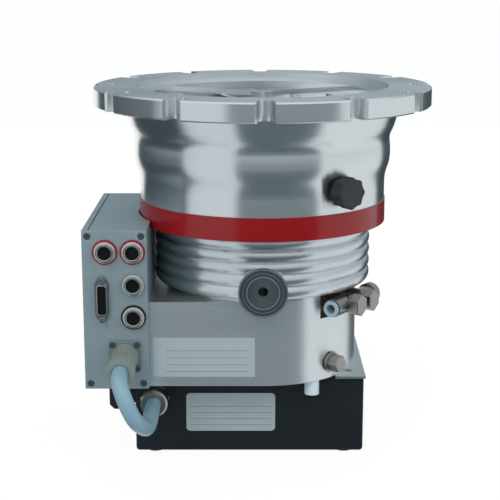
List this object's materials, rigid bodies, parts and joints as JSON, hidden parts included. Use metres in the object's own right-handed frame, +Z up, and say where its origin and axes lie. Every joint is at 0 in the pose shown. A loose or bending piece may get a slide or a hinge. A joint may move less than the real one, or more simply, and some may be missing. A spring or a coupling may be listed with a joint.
{
  "type": "turbomolecular pump",
  "caption": "Turbomolecular vacuum pump with a slotted round inlet flange, red trim band, finned neck, side controller, cooling connections and a black power supply underneath.",
  "frame": {"origin": "centre of the inlet flange's top face, on the rotor axis", "axes": "+Z up along the rotor axis out of the inlet, -Y out of the forevacuum port, +X to the right seen from the port"},
  "size_m": [0.2878, 0.3123, 0.312],
  "materials": {
    "cast_aluminium": "bright turned and lightly brushed aluminium",
    "blade_aluminium": "milled aluminium",
    "red_trim": "glossy deep red",
    "steel": "turned steel",
    "dark_steel": "dark grey turned steel",
    "nickel": "satin nickel plating",
    "brass": "machined brass",
    "black_plastic": "matte black",
    "grey_plastic": "moulded grey plastic",
    "blue_grey_plastic": "pale blue-grey plastic",
    "cable_jacket": "light blue-grey cable jacket",
    "grey_anodised": "grey anodised aluminium",
    "sheet_metal": "plain rolled sheet",
    "black_paint": "satin black powder coat",
    "rubber": "black rubber",
    "magnet": "ground magnet alloy",
    "copper": "lacquered copper windings",
    "carbon": "carbon fibre tube",
    "board_green": "green circuit board",
    "felt": "pale felt in a plastic cup"
  },
  "bodies": {
    "pump": {"casing": "cast_aluminium", "trim_band": "red_trim", "lower_housing": "cast_aluminium", "bottom_cover": "cast_aluminium", "socket_screws": "steel", "bracket_screws": "steel", "o_rings": "rubber", "bearing_star": "blade_aluminium", "magnet_stator_rings": "magnet", "safety_bearing": "steel", "spacer_rings": "blade_aluminium", "stator_discs": "blade_aluminium", "holweck_stators": "blade_aluminium", "motor_laminations": "magnet", "motor_windings": "copper", "bearing_outer_ring": "steel", "bearing_holder": "blade_aluminium", "lubricant_reservoir": "felt", "forevacuum_port": "dark_steel", "port_baffle": "dark_steel", "water_block": "brass", "water_bolts": "nickel", "sealing_gas_plug": "nickel", "base_post": "grey_plastic", "controller_housing": "grey_anodised", "controller_front_plate": "grey_anodised", "controller_rear_plate": "grey_anodised", "controller_screws": "steel", "drive_board": "board_green", "socket_shells": "nickel", "socket_inserts": "black_plastic", "red_code_rings": "red_trim", "black_code_ring": "black_plastic", "dsub_shell": "nickel", "dsub_insert": "black_plastic", "power_receptacle": "steel", "plug_body": "grey_plastic", "power_cable": "cable_jacket", "power_supply_case": "black_paint", "power_supply_feet": "rubber", "supply_bracket": "sheet_metal", "cable_gland": "nickel", "mains_connector": "black_plastic"},
    "rotor": {"turbine_rotor": "blade_aluminium", "rotor_shaft": "steel", "holweck_sleeve": "carbon", "magnet_rotor_rings": "magnet", "motor_magnet": "magnet", "bearing_inner_ring": "steel"},
    "bearing_cage": {"ball_cage": "brass", "bearing_balls": "steel"},
    "vent_seal": {"vent_seal": "rubber"},
    "vent_knob": {"vent_knob": "black_plastic"},
    "elbow_front": {"water_elbow_front": "nickel"},
    "elbow_rear": {"water_elbow_rear": "nickel"},
    "collet_front": {"release_collet_front": "blue_grey_plastic"},
    "collet_rear": {"release_collet_rear": "blue_grey_plastic"},
    "plug_coupling": {"plug_coupling_ring": "grey_plastic"}
  },
  "joints": [
    {"name": "rotor_spin", "type": "hinge", "parent": "pump", "child": "rotor", "pos_m": [0, 0, -0.1], "axis": [0, 0, 1], "continuous": true},
    {"name": "cage_spin", "type": "hinge", "parent": "pump", "child": "bearing_cage", "pos_m": [0, 0, -0.194], "axis": [0, 0, 1], "continuous": true},
    {"name": "vent_lift", "type": "slide", "parent": "pump", "child": "vent_seal", "axis": [0.5807, -0.8141, 0], "range_m": [0, 0.0015]},
    {"name": "vent_turn", "type": "hinge", "parent": "vent_seal", "child": "vent_knob", "pos_m": [0.06504, -0.09118, -0.0765], "axis": [0.5807, -0.8141, 0], "range_deg": [0, 360]},
    {"name": "water_swivel_front", "type": "hinge", "parent": "pump", "child": "elbow_front", "pos_m": [0.06968, -0.05424, -0.177], "axis": [0.829, -0.5592, 0], "range_deg": [-5, 40]},
    {"name": "water_swivel_rear", "type": "hinge", "parent": "pump", "child": "elbow_rear", "pos_m": [0.08136, -0.03799, -0.177], "axis": [0.829, -0.5592, 0], "range_deg": [-40, 3]},
    {"name": "collet_push_front", "type": "slide", "parent": "elbow_front", "child": "collet_front", "axis": [0.5592, 0.829, 0], "range_m": [0, 0.001], "stiffness_N_per_m": 400, "springref_m": -0.001},
    {"name": "collet_push_rear", "type": "slide", "parent": "elbow_rear", "child": "collet_rear", "axis": [-0.5592, -0.829, 0], "range_m": [0, 0.001], "stiffness_N_per_m": 400, "springref_m": -0.001},
    {"name": "plug_lock", "type": "hinge", "parent": "pump", "child": "plug_coupling", "pos_m": [-0.1122, -0.1, -0.212], "axis": [0, -1, 0], "range_deg": [0, 45]}
  ],
  "couplings": [
    {"joint": "cage_spin", "follows": "rotor_spin", "ratio": 0.41},
    {"joint": "vent_lift", "follows": "vent_turn", "m_per_rad": 0.000238}
  ]
}
